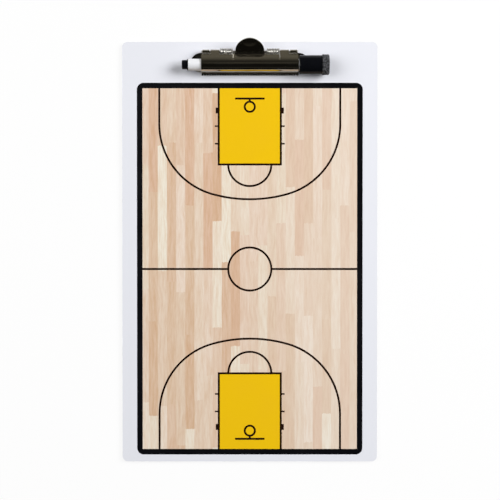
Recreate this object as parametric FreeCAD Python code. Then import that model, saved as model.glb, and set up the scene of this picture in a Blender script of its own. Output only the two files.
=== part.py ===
import FreeCAD, Part
import math
import os

# Tactics board: a dry-erase coaching board with a printed court, a sprung lever clip and a capped marker.
# All sizes are in millimetres. The board lies flat with its printed face up: X runs to the right,
# Y runs towards the clip, Z stands out of the printed face. The origin is the centre of the back face.

# Board: a stiff core between two films
BOARD_WIDTH = 240.0
BOARD_LENGTH = 395.0
BOARD_CORNER = 5.0
CORE_THICKNESS = 2.7
FILM_THICKNESS = 0.15
INK_THICKNESS = 0.04

# Printed court
SIDE_MARGIN = 13.8
TOP_MARGIN = 38.3
BOTTOM_MARGIN = 6.5
BORDER_LINE = 5.2
BORDER_CORNER = 6.2
LINE = 1.9
KEY_WIDTH = 58.4
KEY_LENGTH = 71.5
CIRCLE_RADIUS = 20.3
THREE_POINT_INSET = 15.9
THREE_POINT_STRAIGHT = 33.6
THREE_POINT_SIDE_CENTRE = 16.8
THREE_POINT_TOP_RADIUS = 130.2
BACKBOARD_INSET = 9.6
BACKBOARD_LENGTH = 27.8
HOOP_INSET = 17.3
HOOP_RADIUS = 4.75
LANE_BLOCK_INSET = 18.1
LANE_BLOCK_LENGTH = 5.5
LANE_BLOCK_REACH = 1.9
LANE_TICK_INSETS = (35.5, 52.0)
LANE_TICK_REACH = 2.7
LANE_TICK_LINE = 1.5

# Marker
BARREL_RADIUS = 5.5
BARREL_WALL = 1.0
BARREL_LENGTH = 112.7
MARKER_FIT = 0.05
PLUG_RADIUS = 4.3
PLUG_LENGTH = 4.9
PLUG_FLANGE_RADIUS = 5.2
PLUG_FLANGE = 1.0
PLUG_SPIGOT = 6.0
PLUG_ROUND = 0.7
HOLDER_SPIGOT = 8.0
HOLDER_NOSE = 3.2
HOLDER_NOSE_RADIUS = 3.2
NIB_RADIUS = 2.0
NIB_REACH = 1.8
NIB_TIP_FLAT = 0.3
RESERVOIR_GAP = 0.25
CAP_RADIUS = 8.85
CAP_GRIP = 9.0
CAP_FIT = 0.1
CAP_BORE_STEP = 0.2
CAP_ROOM = 6.0
CAP_END_WALL = 1.5
CAP_ROUND = 0.8
FELT_RADIUS = 9.5
FELT_THICKNESS = 6.4
FELT_ROUND = 1.4

# Clip: base plate, jaw with thumb lever, hinge pin
SHEET = 0.8
JAW_LENGTH = 90.4
PIN_RADIUS = 1.25
PIN_FROM_EDGE = 10.5
PIN_FIT = 0.05
PIN_HEAD = 0.7
PIN_HEAD_STEP = 0.45
MARKER_FROM_PIN = 12.0
MARKER_ABOVE_PIN = 0.6
PLATE_OVERHANG = 10.1
EAR_BEND = 2.0
BASE_KNUCKLE = 6.2
JAW_KNUCKLE = 8.0
KNUCKLE_GAP = 1.4
KNUCKLE_WRAP = 255.0
BEAD_HALF_WIDTH = 5.0
ARCH_CLEARANCE = 0.32
CROWN_RADIUS = 18.0
CROWN_END_SLOPE = 10.0
SEAT_GAP = 0.3
LIP_ANGLE = 70.0
LIP_BEND = 0.7
LIP_LENGTH = 2.35
TOOTH_PITCH = 2.4
TOOTH_LAND = 0.3
TOOTH_DEPTH = 1.8
LEVER_ANGLE = 40.0
LEVER_BEND = 1.2
LEVER_LENGTH = 16.1
LEVER_ROOT_WIDTH = 28.2
LEVER_TIP_RADIUS = 13.4
LEVER_ROOT_STEP = 0.3
DISH_RADIUS = 7.6
DISH_DEPTH = 0.7
DISH_FROM_TIP = 1.0
CAP_FROM_JAW = 1.1
CAP_FROM_PLATE = 0.35
FELT_FROM_BOARD = 0.5

# Torsion springs on the hinge pin
WIRE = 1.0
COIL_GAP = 0.5
COIL_TURNS = 7
COIL_END_GAP = 0.6
LEVER_TO_COIL = 1.7
NOTCH_CLEARANCE = 1.0
LEG_GAP = 0.4
JAW_LEG = 9.4
BASE_LEG_REACH = 5.2

# Rivets through plate and board
RIVET_RADIUS = 2.0
RIVET_FIT = 0.05
RIVET_FROM_JAW_END = 3.2
RIVET_HEAD_RADIUS = 3.2
RIVET_HEAD = 1.0
RIVET_TAIL_RADIUS = 3.6
RIVET_TAIL = 0.9
RIVET_RECESS = 0.1
RIVET_TO_BEAD = 0.8

# Heights that follow from the layers
core_base = FILM_THICKNESS
core_top = core_base + CORE_THICKNESS
face = core_top + FILM_THICKNESS
ink_top = face + INK_THICKNESS
plate_top = face + SHEET

# Court edges, inside the black border
court_right = BOARD_WIDTH / 2 - SIDE_MARGIN - BORDER_LINE
court_top = BOARD_LENGTH / 2 - TOP_MARGIN - BORDER_LINE
court_bottom = -BOARD_LENGTH / 2 + BOTTOM_MARGIN + BORDER_LINE
court_middle = (court_top + court_bottom) / 2
court_half = (court_top - court_bottom) / 2

# Hinge pin and marker axes, both parallel to X
jaw_end = JAW_LENGTH / 2
cap_height = SHEET + CAP_RADIUS + CAP_FROM_PLATE
felt_height = FELT_RADIUS + FELT_FROM_BOARD
marker_z = face + max(cap_height, felt_height)
pin_y = BOARD_LENGTH / 2 - PIN_FROM_EDGE
pin_z = marker_z - MARKER_ABOVE_PIN
marker_y = pin_y - MARKER_FROM_PIN
knuckle_bore = PIN_RADIUS + PIN_FIT
knuckle_radius = knuckle_bore + SHEET
arch_inner = BARREL_RADIUS + ARCH_CLEARANCE
arch_outer = arch_inner + SHEET

# The jaw's sloping strip is the common tangent of the knuckle and the crown, a wide bend before the arch
crown_step = CROWN_RADIUS - arch_outer
crown_lean = math.radians(CROWN_END_SLOPE)
crown_from_pin = MARKER_FROM_PIN + crown_step * math.sin(crown_lean)
crown_above_pin = MARKER_ABOVE_PIN - crown_step * math.cos(crown_lean)
axis_distance = math.hypot(crown_from_pin, crown_above_pin)
axis_slope = math.degrees(math.atan2(crown_above_pin, crown_from_pin))
strip_slope = axis_slope + math.degrees(math.asin((CROWN_RADIUS - knuckle_radius) / axis_distance))
strip_length = math.sqrt(axis_distance ** 2 - (CROWN_RADIUS - knuckle_radius) ** 2)

# Spring coil round the pin; its legs lie on the jaw's strip and on the base plate
coil_radius = knuckle_radius + LEG_GAP + WIRE / 2
coil_pitch = WIRE + COIL_GAP
foot_height = plate_top + SEAT_GAP + WIRE / 2
foot_drop = pin_z - foot_height
foot_distance = math.hypot(BASE_LEG_REACH, foot_drop)
base_leg_slope = math.acos(coil_radius / foot_distance) - math.atan2(BASE_LEG_REACH, foot_drop)
coil_start_angle = base_leg_slope - math.pi / 2
coil_end_angle = math.radians(90.0 - strip_slope + 360.0 * COIL_TURNS)
coil_advance = coil_pitch * (coil_end_angle - coil_start_angle) / (2 * math.pi)
notch_reach = math.sqrt((coil_radius + WIRE / 2 + NOTCH_CLEARANCE) ** 2 - knuckle_bore ** 2)

# Places along the hinge, from the lever outwards
coil_near = LEVER_ROOT_WIDTH / 2 + LEVER_TO_COIL
coil_far = coil_near + coil_advance + WIRE
jaw_knuckle_near = coil_far + COIL_END_GAP
jaw_knuckle_far = jaw_knuckle_near + JAW_KNUCKLE
base_knuckle_near = jaw_knuckle_far + KNUCKLE_GAP
base_knuckle_far = base_knuckle_near + BASE_KNUCKLE

# Base plate and rivets
plate_rear = pin_y
plate_front = marker_y - arch_inner
plate_middle = (plate_front + plate_rear) / 2
plate_end_radius = (plate_rear - plate_front) / 2
rivet_x = jaw_end - RIVET_FROM_JAW_END
bead_end = rivet_x - RIVET_HEAD_RADIUS - RIVET_TO_BEAD - BEAD_HALF_WIDTH

# Places along the marker
cap_mouth = jaw_end + CAP_FROM_JAW
barrel_right = cap_mouth + CAP_GRIP
barrel_left = barrel_right - BARREL_LENGTH
barrel_bore = BARREL_RADIUS - BARREL_WALL
nose_end = barrel_right + HOLDER_NOSE
nib_tip = nose_end + NIB_REACH
cap_floor = nib_tip + CAP_ROOM
cap_end = cap_floor + CAP_END_WALL


def at(x, y, z):
    return FreeCAD.Vector(x, y, z)


def wire_of(edges):
    return Part.Wire(Part.__sortEdges__(edges))


def line(start, end):
    return Part.LineSegment(start, end).toShape()


def arc(start, middle, end):
    return Part.Arc(start, middle, end).toShape()


def box(x_low, x_high, y_low, y_high, z_low, z_high):
    return Part.makeBox(x_high - x_low, y_high - y_low, z_high - z_low, at(x_low, y_low, z_low))


def rounded_slab(x_half, y_low, y_high, corner, z_low, thickness):
    """Flat sheet with round corners, centred on X."""
    slab = box(-x_half, x_half, y_low, y_high, z_low, z_low + thickness)
    upright = [edge for edge in slab.Edges if abs(edge.tangentAt(edge.FirstParameter).z) > 0.9]
    return slab.makeFillet(corner, upright)


def disc(x, y, radius, z_low, z_high):
    """Round post standing on the board."""
    return Part.makeCylinder(radius, z_high - z_low, at(x, y, z_low))


def mirrored(shape, centre_y):
    """The same print on the other half of the court."""
    return shape.mirror(at(0, centre_y, 0), at(0, 1, 0))


def turned(profile):
    """Solid of revolution about the marker's axis, from (x, radius) corners that start and end on it."""
    corners = [at(x, marker_y, marker_z + radius) for x, radius in profile]
    outline = Part.Face(Part.makePolygon(corners + corners[:1]))
    return outline.revolve(at(0, marker_y, marker_z), at(1, 0, 0), 360)


def round_rims(shape, x, radius, rim):
    """Round the circular edges of one radius at one end of a turned piece."""
    edges = []
    for edge in shape.Edges:
        is_circle = isinstance(edge.Curve, Part.Circle)
        if is_circle and abs(edge.Curve.Center.x - x) < 1e-6 and abs(edge.Curve.Radius - radius) < 1e-6:
            edges.append(edge)
    return shape.makeFillet(rim, edges)


def bent_sheet(start, heading, moves, thickness, x_low, x_high):
    """Sheet metal strip bent about axes along X.

    One skin starts at (y, z) and goes along heading, in degrees from +Y towards +Z. Each move is
    (length, 0) for a straight run or (radius, turn) for a bend of that skin, left turns positive.
    The metal lies to the left of the skin, or to its right for a negative thickness.
    """

    def skin(offset):
        angle = math.radians(heading)
        y = start[0] - offset * math.sin(angle)
        z = start[1] + offset * math.cos(angle)
        edges = []
        points = [at(x_low, y, z)]
        for size, turn in moves:
            if turn == 0:
                y += size * math.cos(angle)
                z += size * math.sin(angle)
                points.append(at(x_low, y, z))
                edges.append(line(points[-2], points[-1]))
                continue
            side = math.copysign(1, turn)
            radius = size - side * offset
            centre_y = y - side * radius * math.sin(angle)
            centre_z = z + side * radius * math.cos(angle)
            bend = []
            for share in (0.5, 1.0):
                way = angle + math.radians(turn) * share
                y = centre_y + side * radius * math.sin(way)
                z = centre_z - side * radius * math.cos(way)
                bend.append(at(x_low, y, z))
            edges.append(arc(points[-1], bend[0], bend[1]))
            points.append(bend[1])
            angle += math.radians(turn)
        return edges, points[0], points[-1]

    near, near_start, near_end = skin(0)
    far, far_start, far_end = skin(thickness)
    ends = [line(near_start, far_start), line(near_end, far_end)]
    return Part.Face(wire_of(near + far + ends)).extrude(at(x_high - x_low, 0, 0))


def strip_point(reach):
    """Point (y, z) on the top skin of the jaw's strip, at a reach forward of the pin."""
    slope = math.radians(strip_slope)
    y = pin_y + knuckle_radius * math.sin(slope) - reach * math.cos(slope)
    z = pin_z + knuckle_radius * math.cos(slope) + reach * math.sin(slope)
    return y, z


def rivet_places():
    return [(-rivet_x, plate_middle), (rivet_x, plate_middle)]


def drilled(shape, radius):
    """Cut the rivet holes."""
    for x, y in rivet_places():
        shape = shape.cut(disc(x, y, radius + RIVET_FIT, -face, 2 * plate_top))
    return shape


def make_board_layers():
    x_half = BOARD_WIDTH / 2
    y_half = BOARD_LENGTH / 2

    def layer(z_low, thickness):
        return rounded_slab(x_half, -y_half, y_half, BOARD_CORNER, z_low, thickness)

    tail_top = RIVET_RECESS + RIVET_TAIL
    back = layer(0, FILM_THICKNESS)
    core = layer(core_base, CORE_THICKNESS)
    for x, y in rivet_places():
        pocket = disc(x, y, RIVET_TAIL_RADIUS + RIVET_FIT, -face, tail_top)
        back = back.cut(pocket)
        core = core.cut(pocket)
    return {
        "back_film": drilled(back, RIVET_RADIUS),
        "board_core": drilled(core, RIVET_RADIUS),
        "front_film": drilled(layer(core_top, FILM_THICKNESS), RIVET_RADIUS),
    }


def ink_box(x_low, x_high, y_low, y_high, z_low):
    return box(x_low, x_high, y_low, y_high, z_low, z_low + INK_THICKNESS)


def ink_ring(x, y, radius, z_low):
    outer = disc(x, y, radius + LINE / 2, z_low, z_low + INK_THICKNESS)
    return outer.cut(disc(x, y, radius - LINE / 2, z_low, z_low + INK_THICKNESS))


def three_point_area(grow):
    """Area under a three-point line moved outwards by grow: two straights and three tangent arcs."""
    half = court_right - THREE_POINT_INSET + grow
    side_x = THREE_POINT_SIDE_CENTRE
    side = half - side_x
    top = THREE_POINT_TOP_RADIUS + grow
    straight_end = court_top - THREE_POINT_STRAIGHT
    rise = math.sqrt((top - side) ** 2 - side_x ** 2)
    top_y = straight_end + rise
    joint = math.atan2(side_x, rise)
    half_joint = (math.pi / 2 + joint) / 2

    def on_side(angle):
        return at(side_x + side * math.sin(angle), straight_end - side * math.cos(angle), ink_top)

    corner = at(half, court_top, ink_top)
    shoulder = at(half, straight_end, ink_top)
    tangent = on_side(joint)
    right = [line(corner, shoulder), arc(shoulder, on_side(half_joint), tangent)]
    left = [edge.mirror(at(0, 0, 0), at(1, 0, 0)) for edge in right]
    crown = arc(tangent, at(0, top_y - top, ink_top), at(-tangent.x, tangent.y, ink_top))
    base = line(corner, at(-half, court_top, ink_top))
    return Part.Face(wire_of(right + left + [crown, base])).extrude(at(0, 0, INK_THICKNESS))


def make_half_court_lines():
    """Lines of the upper half: key, lane marks, free-throw arc, three-point line, backboard and hoop."""
    key_half = KEY_WIDTH / 2
    key_end = court_top - KEY_LENGTH
    outside = key_half + LINE / 2
    inside = key_half - LINE / 2
    key = ink_box(-outside, outside, key_end - LINE / 2, court_top, ink_top)
    key = key.cut(ink_box(-inside, inside, key_end + LINE / 2, court_top, ink_top))
    marks = []
    for side in (-1, 1):
        spans = [(LANE_BLOCK_INSET, LANE_BLOCK_INSET + LANE_BLOCK_LENGTH, LANE_BLOCK_REACH)]
        for inset in LANE_TICK_INSETS:
            spans.append((inset - LANE_TICK_LINE / 2, inset + LANE_TICK_LINE / 2, LANE_TICK_REACH))
        for near, far, reach in spans:
            x_ends = sorted((side * key_half, side * (outside + reach)))
            marks.append(ink_box(x_ends[0], x_ends[1], court_top - far, court_top - near, ink_top))
    throw = ink_ring(0, key_end, CIRCLE_RADIUS, ink_top)
    throw = throw.cut(ink_box(-outside, outside, key_end, court_top, ink_top))
    key = key.fuse(marks + [throw]).removeSplitter()

    three_point = three_point_area(LINE / 2).cut(three_point_area(-LINE / 2))

    board_y = court_top - BACKBOARD_INSET
    hoop_y = court_top - HOOP_INSET
    ring = ink_ring(0, hoop_y, HOOP_RADIUS, ink_top)
    neck = ink_box(-LINE / 2, LINE / 2, hoop_y + HOOP_RADIUS, board_y, ink_top)
    half_bar = BACKBOARD_LENGTH / 2
    bar = ink_box(-half_bar, half_bar, board_y - LINE / 2, board_y + LINE / 2, ink_top)
    hoop = ring.fuse([neck, bar]).removeSplitter()
    return [key, three_point, hoop]


def make_prints():
    border_right = court_right + BORDER_LINE
    border_bottom = court_bottom - BORDER_LINE
    border_top = court_top + BORDER_LINE
    border = rounded_slab(border_right, border_bottom, border_top, BORDER_CORNER, face, INK_THICKNESS)
    court = ink_box(-court_right, court_right, court_bottom, court_top, face)

    key_half = KEY_WIDTH / 2
    key_end = court_top - KEY_LENGTH
    upper_key = ink_box(-key_half, key_half, key_end, court_top, face)
    keys = [upper_key, mirrored(upper_key, court_middle)]

    centre = ink_ring(0, court_middle, CIRCLE_RADIUS, ink_top)
    for side in (-1, 1):
        x_ends = sorted((side * CIRCLE_RADIUS, side * court_right))
        half_line = LINE / 2
        run = ink_box(x_ends[0], x_ends[1], court_middle - half_line, court_middle + half_line, ink_top)
        centre = centre.fuse(run)
    lines = [centre.removeSplitter()]
    for shape in make_half_court_lines():
        lines += [shape, mirrored(shape, court_middle)]
    return {
        "border_print": border.cut(court),
        "floor_print": court.cut(Part.makeCompound(keys)),
        "key_print": Part.makeCompound(keys),
        "line_print": Part.makeCompound(lines),
    }


def make_base_plate():
    """Plate with round ends, a pressed bead that carries the marker and two rolled ears for the pin."""
    straight = jaw_end + PLATE_OVERHANG - plate_end_radius
    plate = box(-straight, straight, plate_front, plate_rear, face, plate_top)
    for side in (-1, 1):
        plate = plate.fuse(disc(side * straight, plate_middle, plate_end_radius, face, plate_top))

    bead_height = marker_z - BARREL_RADIUS - SEAT_GAP - plate_top
    bead_radius = (BEAD_HALF_WIDTH ** 2 + bead_height ** 2) / (2 * bead_height)
    bead_z = plate_top + bead_height - bead_radius

    def capsule(radius):
        """Round bar with ball ends along the bead."""
        bar = Part.makeCylinder(radius, 2 * bead_end, at(-bead_end, marker_y, bead_z), at(1, 0, 0))
        balls = [Part.makeSphere(radius, at(side * bead_end, marker_y, bead_z)) for side in (-1, 1)]
        return bar.fuse(balls)

    above = box(-jaw_end, jaw_end, plate_front, plate_rear, face, marker_z)
    plate = plate.fuse(capsule(bead_radius).common(above)).cut(capsule(bead_radius - SHEET))

    ear_root = EAR_BEND + SHEET
    bend_start = pin_y + knuckle_radius - EAR_BEND
    ear_moves = [
        (ear_root, 0),
        (EAR_BEND, 90),
        (pin_z - face - EAR_BEND, 0),
        (knuckle_radius, KNUCKLE_WRAP),
    ]
    for x_low in (-base_knuckle_far, base_knuckle_near):
        ear = bent_sheet((bend_start - ear_root, face), 0, ear_moves, SHEET, x_low, x_low + BASE_KNUCKLE)
        plate = plate.fuse(ear)
    return drilled(plate.removeSplitter(), RIVET_RADIUS)


def make_lever():
    """Thumb lever that the strip turns up into, with a rounded end and a dished thumb rest."""
    root_y, root_z = strip_point(notch_reach + LEVER_ROOT_STEP)
    half_root = LEVER_ROOT_WIDTH / 2
    turn = strip_slope + LEVER_ANGLE
    moves = [(LEVER_BEND, turn), (LEVER_LENGTH, 0)]
    blank = bent_sheet((root_y, root_z), -strip_slope, moves, -SHEET, -half_root, half_root)

    slope = math.radians(LEVER_ANGLE)
    along = at(0, math.cos(slope), math.sin(slope))
    outward = at(0, -math.sin(slope), math.cos(slope))
    across = at(1, 0, 0)
    bend_way = math.radians(-strip_slope)
    foot_y = root_y - LEVER_BEND * math.sin(bend_way) + LEVER_BEND * math.sin(slope)
    foot_z = root_z + LEVER_BEND * math.cos(bend_way) - LEVER_BEND * math.cos(slope)
    foot = at(0, foot_y, foot_z)

    def on_lever(x, reach):
        return foot + across * x + along * reach

    shoulder = LEVER_LENGTH - LEVER_TIP_RADIUS
    below = -LEVER_LENGTH
    outline = [
        line(on_lever(-half_root, below), on_lever(half_root, below)),
        line(on_lever(half_root, below), on_lever(half_root, 0)),
        line(on_lever(half_root, 0), on_lever(LEVER_TIP_RADIUS, shoulder)),
        arc(
            on_lever(LEVER_TIP_RADIUS, shoulder),
            on_lever(0, LEVER_LENGTH),
            on_lever(-LEVER_TIP_RADIUS, shoulder),
        ),
        line(on_lever(-LEVER_TIP_RADIUS, shoulder), on_lever(-half_root, 0)),
        line(on_lever(-half_root, 0), on_lever(-half_root, below)),
    ]
    depth = 2 * LEVER_LENGTH
    cutter = Part.Face(wire_of(outline))
    cutter.translate(outward * -depth)
    cutter = cutter.extrude(outward * (2 * depth))
    lever = blank.common(cutter)

    dish_curve = (DISH_RADIUS ** 2 + DISH_DEPTH ** 2) / (2 * DISH_DEPTH)
    dish_centre = on_lever(0, LEVER_LENGTH - DISH_FROM_TIP) + outward * (dish_curve - DISH_DEPTH)
    backing = Part.Face(wire_of(outline)).extrude(outward * -(SHEET + 2 * DISH_DEPTH))
    upper = Part.makeSphere(2 * DISH_RADIUS, on_lever(0, LEVER_LENGTH - DISH_FROM_TIP))
    bulge = backing.common(Part.makeSphere(dish_curve + SHEET, dish_centre)).common(upper)
    return lever.fuse(bulge).cut(Part.makeSphere(dish_curve, dish_centre))


def make_jaw():
    """Arched jaw with an out-turned toothed lip, knuckles and thumb lever, pressed from one sheet."""
    tip_z = face + SEAT_GAP + SHEET * math.sin(math.radians(LIP_ANGLE))
    lip_turn = math.radians(LIP_ANGLE)
    upright = marker_z - tip_z - LIP_BEND * math.sin(lip_turn) - LIP_LENGTH * math.cos(lip_turn)
    moves = [
        (strip_length - notch_reach, 0),
        (CROWN_RADIUS, strip_slope - CROWN_END_SLOPE),
        (arch_outer, 90 + CROWN_END_SLOPE),
        (upright, 0),
        (LIP_BEND, -LIP_ANGLE),
        (LIP_LENGTH, 0),
    ]
    jaw = bent_sheet(strip_point(notch_reach), 180 - strip_slope, moves, SHEET, -jaw_end, jaw_end)

    half_root = LEVER_ROOT_WIDTH / 2
    under_lever = [(LEVER_ROOT_STEP, 0)]
    gap = bent_sheet(strip_point(notch_reach), 180 - strip_slope, under_lever, SHEET, -half_root, half_root)
    jaw = jaw.cut(gap).fuse(make_lever())

    roll = [(notch_reach, 0), (knuckle_radius, -KNUCKLE_WRAP)]
    for x_low in (-jaw_knuckle_far, jaw_knuckle_near):
        x_high = x_low + JAW_KNUCKLE
        jaw = jaw.fuse(bent_sheet(strip_point(notch_reach), -strip_slope, roll, -SHEET, x_low, x_high))
    return jaw.cut(make_tooth_gaps(tip_z)).removeSplitter()


def make_tooth_gaps(tip_z):
    """Row of V notches along the lip's edge."""
    way = math.radians(LIP_ANGLE)
    bend_run = LIP_BEND * (1 - math.cos(way))
    tip_y = marker_y - arch_outer - bend_run - LIP_LENGTH * math.sin(way)
    up_lip = at(0, math.sin(way), math.cos(way))
    through = at(0, math.cos(way), -math.sin(way))
    count = int(JAW_LENGTH / TOOTH_PITCH)
    first = -count * TOOTH_PITCH / 2

    def on_lip(x, reach):
        return at(x, tip_y, tip_z) + up_lip * reach - through * SHEET

    corners = [on_lip(first, -SHEET)]
    for index in range(count):
        x = first + index * TOOTH_PITCH
        corners.append(on_lip(x + TOOTH_LAND / 2, 0))
        corners.append(on_lip(x + TOOTH_PITCH / 2, TOOTH_DEPTH))
        corners.append(on_lip(x + TOOTH_PITCH - TOOTH_LAND / 2, 0))
    corners.append(on_lip(-first, -SHEET))
    return Part.Face(Part.makePolygon(corners + corners[:1])).extrude(through * (3 * SHEET))


def make_pin():
    """Hinge pin with peened heads outside the outer knuckles."""
    half = base_knuckle_far + KNUCKLE_GAP / 4
    axis = at(1, 0, 0)
    pin = Part.makeCylinder(PIN_RADIUS, 2 * half, at(-half, pin_y, pin_z), axis)
    for side in (-1, 1):
        foot = at(side * half, pin_y, pin_z)
        wide = PIN_RADIUS + PIN_HEAD_STEP
        pin = pin.fuse(Part.makeCone(wide, PIN_RADIUS, PIN_HEAD, foot, axis * side))
    return pin


def biarc(start, start_way, end, end_way):
    """Two tangent arcs between two points with given unit directions."""
    chord = end - start
    ways = start_way + end_way
    spread = 2 * (1 - start_way.dot(end_way))
    reach = (math.sqrt(chord.dot(ways) ** 2 + spread * chord.dot(chord)) - chord.dot(ways)) / spread
    joint = (start + end + (start_way - end_way) * reach) * 0.5
    edges = []
    for first, corner, last in (
        (start, start + start_way * reach, joint),
        (joint, end - end_way * reach, end),
    ):
        middle = (first + last) * 0.5
        half_turn = math.atan2((corner - middle).Length, (first - middle).Length)
        share = math.tan(half_turn / 2) / math.tan(half_turn)
        edges.append(arc(first, middle + (corner - middle) * share, last))
    return edges


def least_gap(path):
    """Least clear distance between one turn of the wire and another."""
    count = 60 * (COIL_TURNS + 2)
    points = path.discretize(Number=count)
    step = path.Length / (count - 1)
    skip = int(math.pi * coil_radius / step)
    nearest = min(
        (points[i] - points[j]).Length for i in range(count) for j in range(i + skip, count)
    )
    return nearest - WIRE


def make_spring(name, x_start):
    """Torsion spring: a leg on the base plate, close turns round the pin and a leg on the jaw's strip."""
    turn = coil_end_angle - coil_start_angle
    quarters = math.ceil(turn / (math.pi / 2))
    rise = coil_pitch / (2 * math.pi)

    def on_coil(share):
        angle = coil_start_angle + turn * share
        x = x_start + coil_advance * share
        point = at(x, pin_y + coil_radius * math.cos(angle), pin_z + coil_radius * math.sin(angle))
        way = at(rise, -coil_radius * math.sin(angle), coil_radius * math.cos(angle))
        return point, way.normalize()

    start, start_way = on_coil(0)
    end, end_way = on_coil(1)
    base_leg = (start.z - foot_height) / start_way.z
    foot = start - start_way * base_leg
    edges = [line(foot, start)]
    for index in range(quarters):
        point, way = on_coil(index / quarters)
        next_point, next_way = on_coil((index + 1) / quarters)
        edges += biarc(point, way, next_point, next_way)
    edges.append(line(end, end + end_way * JAW_LEG))
    path = Part.Wire(edges)
    print(f"{name}: least gap between turns {least_gap(path):.3f} mm")

    section = Part.Wire(Part.makeCircle(WIRE / 2, foot, start_way))
    pipe = Part.BRepOffsetAPI.MakePipeShell(path)
    pipe.add(section)
    pipe.build()
    pipe.makeSolid()
    return pipe.shape()


def make_springs():
    left_start = -coil_far + WIRE / 2
    right_start = coil_near + WIRE / 2
    return {
        "left_spring": make_spring("left_spring", left_start),
        "right_spring": make_spring("right_spring", right_start),
    }


def make_rivet(x, y):
    """Solid rivet: a low domed head on the plate and a flat tail sunk in the board's back."""
    dome = (RIVET_HEAD_RADIUS ** 2 + RIVET_HEAD ** 2) / (2 * RIVET_HEAD)
    head = Part.makeSphere(dome, at(x, y, plate_top + RIVET_HEAD - dome))
    head = head.common(disc(x, y, RIVET_HEAD_RADIUS, plate_top, plate_top + RIVET_HEAD))
    tail_top = RIVET_RECESS + RIVET_TAIL
    shank = disc(x, y, RIVET_RADIUS, tail_top, plate_top)
    tail = disc(x, y, RIVET_TAIL_RADIUS, RIVET_RECESS, tail_top)
    return head.fuse([shank, tail]).removeSplitter()


def make_marker():
    plug_end = barrel_left - PLUG_FLANGE - PLUG_LENGTH
    spigot = barrel_bore - MARKER_FIT
    nib_bore = NIB_RADIUS + MARKER_FIT
    holder_left = barrel_right - HOLDER_SPIGOT

    barrel = turned([
        (barrel_left, barrel_bore),
        (barrel_left, BARREL_RADIUS),
        (barrel_right, BARREL_RADIUS),
        (barrel_right, barrel_bore),
    ])
    plug = turned([
        (plug_end, 0),
        (plug_end, PLUG_RADIUS),
        (barrel_left - PLUG_FLANGE, PLUG_RADIUS),
        (barrel_left - PLUG_FLANGE, PLUG_FLANGE_RADIUS),
        (barrel_left, PLUG_FLANGE_RADIUS),
        (barrel_left, spigot),
        (barrel_left + PLUG_SPIGOT, spigot),
        (barrel_left + PLUG_SPIGOT, 0),
    ])
    holder = turned([
        (holder_left, nib_bore),
        (holder_left, spigot),
        (barrel_right, spigot),
        (nose_end, HOLDER_NOSE_RADIUS),
        (nose_end, nib_bore),
    ])
    nib = turned([
        (holder_left, 0),
        (holder_left, NIB_RADIUS),
        (nib_tip, NIB_RADIUS),
        (nib_tip, 0),
    ])
    reservoir = turned([
        (barrel_left + PLUG_SPIGOT, 0),
        (barrel_left + PLUG_SPIGOT, barrel_bore - RESERVOIR_GAP),
        (holder_left, barrel_bore - RESERVOIR_GAP),
        (holder_left, 0),
    ])
    return {
        "marker_barrel": barrel,
        "marker_end_plug": round_rims(plug, plug_end, PLUG_RADIUS, PLUG_ROUND),
        "nib_holder": holder,
        "marker_nib": round_rims(nib, nib_tip, NIB_RADIUS, NIB_RADIUS - NIB_TIP_FLAT),
        "ink_reservoir": reservoir,
    }


def make_cap():
    grip_bore = BARREL_RADIUS + CAP_FIT
    nose_bore = grip_bore - CAP_BORE_STEP
    step_x = barrel_right + CAP_BORE_STEP
    cap = turned([
        (cap_mouth, grip_bore),
        (cap_mouth, CAP_RADIUS),
        (cap_end, CAP_RADIUS),
        (cap_end, 0),
        (cap_floor, 0),
        (cap_floor, nose_bore),
        (step_x + CAP_BORE_STEP, nose_bore),
        (step_x, grip_bore),
    ])
    felt_end = cap_end + FELT_THICKNESS
    felt = turned([
        (cap_end, 0),
        (cap_end, FELT_RADIUS),
        (felt_end, FELT_RADIUS),
        (felt_end, 0),
    ])
    return {
        "marker_cap": round_rims(cap, cap_mouth, CAP_RADIUS, CAP_ROUND),
        "eraser_felt": round_rims(felt, felt_end, FELT_RADIUS, FELT_ROUND),
    }


nodes = {}
nodes.update(make_board_layers())
nodes.update(make_prints())
nodes["clip_base_plate"] = make_base_plate()
nodes["clip_jaw"] = make_jaw()
nodes["hinge_pin"] = make_pin()
nodes.update(make_springs())
left_place, right_place = rivet_places()
nodes["left_rivet"] = make_rivet(*left_place)
nodes["right_rivet"] = make_rivet(*right_place)
nodes.update(make_marker())
nodes.update(make_cap())

os.makedirs("parts", exist_ok=True)
for node, shape in nodes.items():
    shape.exportStep(f"parts/{node}.step")
    print(f"{node}: {len(shape.Solids)} solids, {shape.Volume:.2f} cubic mm, valid {shape.isValid()}")
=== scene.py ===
# %% [markdown]
# # Dressing a tactics board
# The object is a coach's dry-erase clipboard: a white board printed with a basketball court, a sprung lever
# clip riveted to its top edge and a capped marker that lies in the clip. The imported CAD model gives every
# piece its place. Most solids already have the right shape, so this lesson gives them finishes. The springs
# and the felt are made anew: a spring as one wire from leg to leg, and felt from its fibres. A real spring
# winds up when the jaw opens; these keep their rest shape.

# %% Load the frame
import math

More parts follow.
